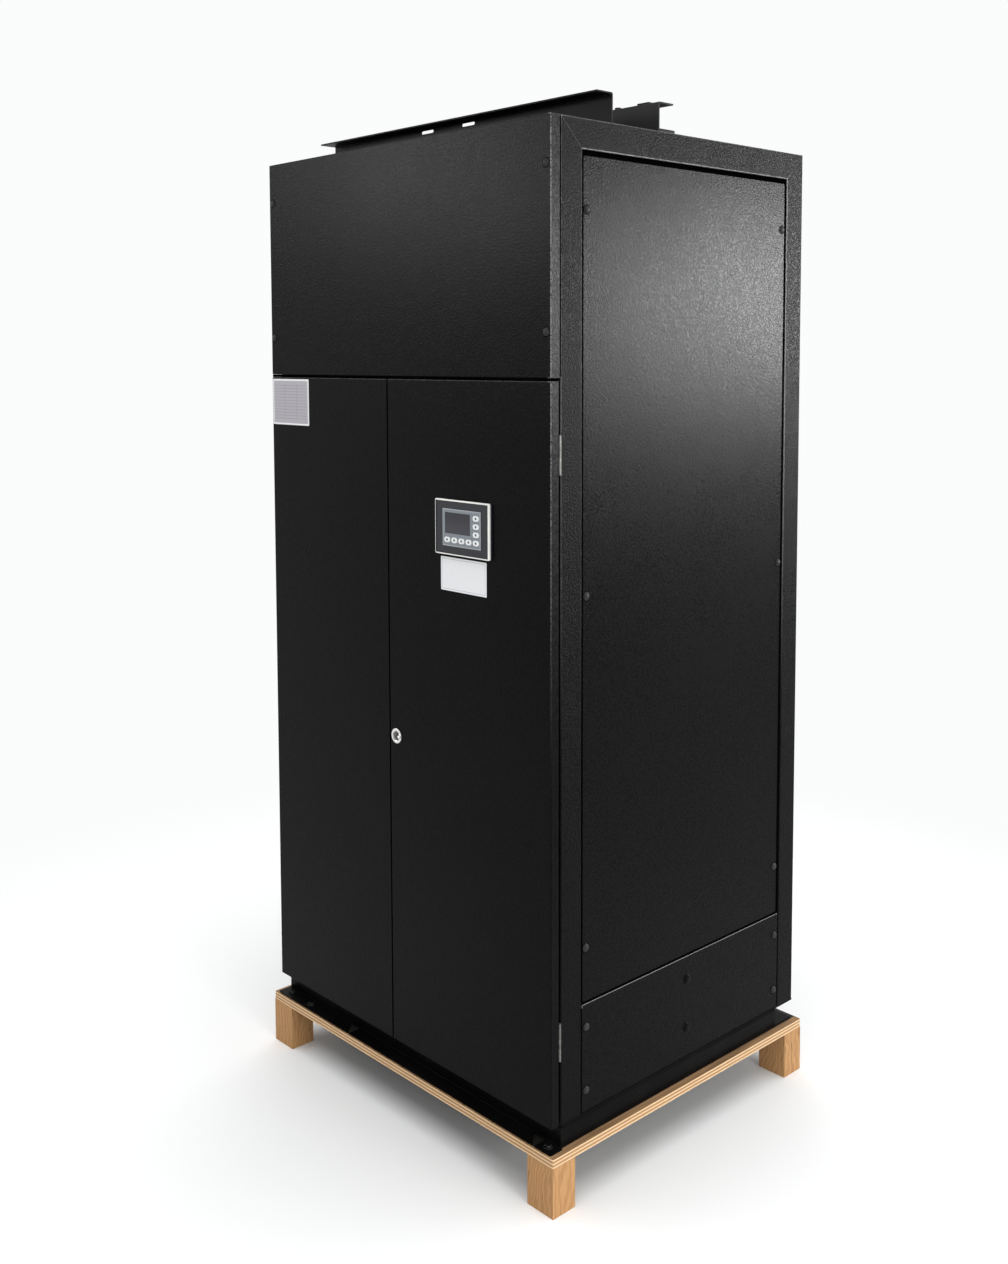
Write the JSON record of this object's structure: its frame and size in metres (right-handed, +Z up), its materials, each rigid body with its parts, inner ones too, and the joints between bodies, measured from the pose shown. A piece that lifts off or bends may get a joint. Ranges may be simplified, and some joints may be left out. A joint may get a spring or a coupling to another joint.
{
  "type": "computer room air conditioner",
  "caption": "Tall black sheet-metal computer room air conditioner with hinged front doors, a door display, framed side panels and roof rails, on a wooden pallet.",
  "frame": {"origin": "floor level under the middle of the pallet", "axes": "+X to the right seen from the front, -Y towards the front, +Z up"},
  "size_m": [0.94, 0.8, 2.126],
  "materials": {
    "black_coat": "fine wrinkle powder coat",
    "base_coat": "satin black paint",
    "pallet_wood": "raw plywood and sawn softwood",
    "zinc_steel": "zinc plated",
    "lock_chrome": "polished",
    "display_grey": "matt",
    "keypad_grey": "matt film",
    "screen_dark": "gloss",
    "key_white": "matt",
    "filter_cloth": "pleated fibre"
  },
  "bodies": {
    "cabinet": {"pallet_board": "pallet_wood", "pallet_block_front_left": "pallet_wood", "pallet_block_front_right": "pallet_wood", "pallet_block_rear_left": "pallet_wood", "pallet_block_rear_right": "pallet_wood", "base_front_channel": "base_coat", "base_rear_channel": "base_coat", "base_right_rail": "base_coat", "base_left_rail": "base_coat", "floor_pan": "base_coat", "front_roof_rail": "base_coat", "rear_roof_rail": "base_coat", "front_right_post": "black_coat", "front_left_post": "black_coat", "rear_right_post": "black_coat", "rear_left_post": "black_coat", "right_top_rail": "black_coat", "left_top_rail": "black_coat", "front_top_rail": "black_coat", "rear_top_rail": "black_coat", "front_cross_rail": "black_coat", "centre_stile": "black_coat", "inner_left_cover": "black_coat", "inner_right_cover": "black_coat", "right_upper_panel": "black_coat", "right_lower_panel": "black_coat", "left_upper_panel": "black_coat", "left_lower_panel": "black_coat", "rear_upper_panel": "black_coat", "rear_lower_panel": "black_coat", "front_top_panel": "black_coat", "roof_panel": "black_coat", "return_air_grille": "black_coat", "air_filter": "filter_cloth", "right_hinge_frame_leaves": "zinc_steel", "left_hinge_frame_leaves": "zinc_steel"},
    "right_door_leaf": {"right_door": "black_coat", "right_hinge_door_leaves": "zinc_steel", "lock_body": "lock_chrome", "display_housing": "display_grey", "display_keypad": "keypad_grey", "display_screen": "screen_dark", "display_keys": "key_white"},
    "left_door_leaf": {"left_door": "black_coat", "left_hinge_door_leaves": "zinc_steel"},
    "lock_core": {"lock_cylinder": "lock_chrome"}
  },
  "joints": [
    {"name": "right_door_hinge", "type": "hinge", "parent": "cabinet", "child": "right_door_leaf", "pos_m": [0.455, -0.367, 0.876], "axis": [0, 0, 1], "range_deg": [0, 110]},
    {"name": "left_door_hinge", "type": "hinge", "parent": "cabinet", "child": "left_door_leaf", "pos_m": [-0.455, -0.367, 0.876], "axis": [0, 0, -1], "range_deg": [0, 110]},
    {"name": "lock_turn", "type": "hinge", "parent": "right_door_leaf", "child": "lock_core", "pos_m": [-0.003, -0.377, 0.835], "axis": [0, 1, 0], "range_deg": [0, 90]}
  ]
}
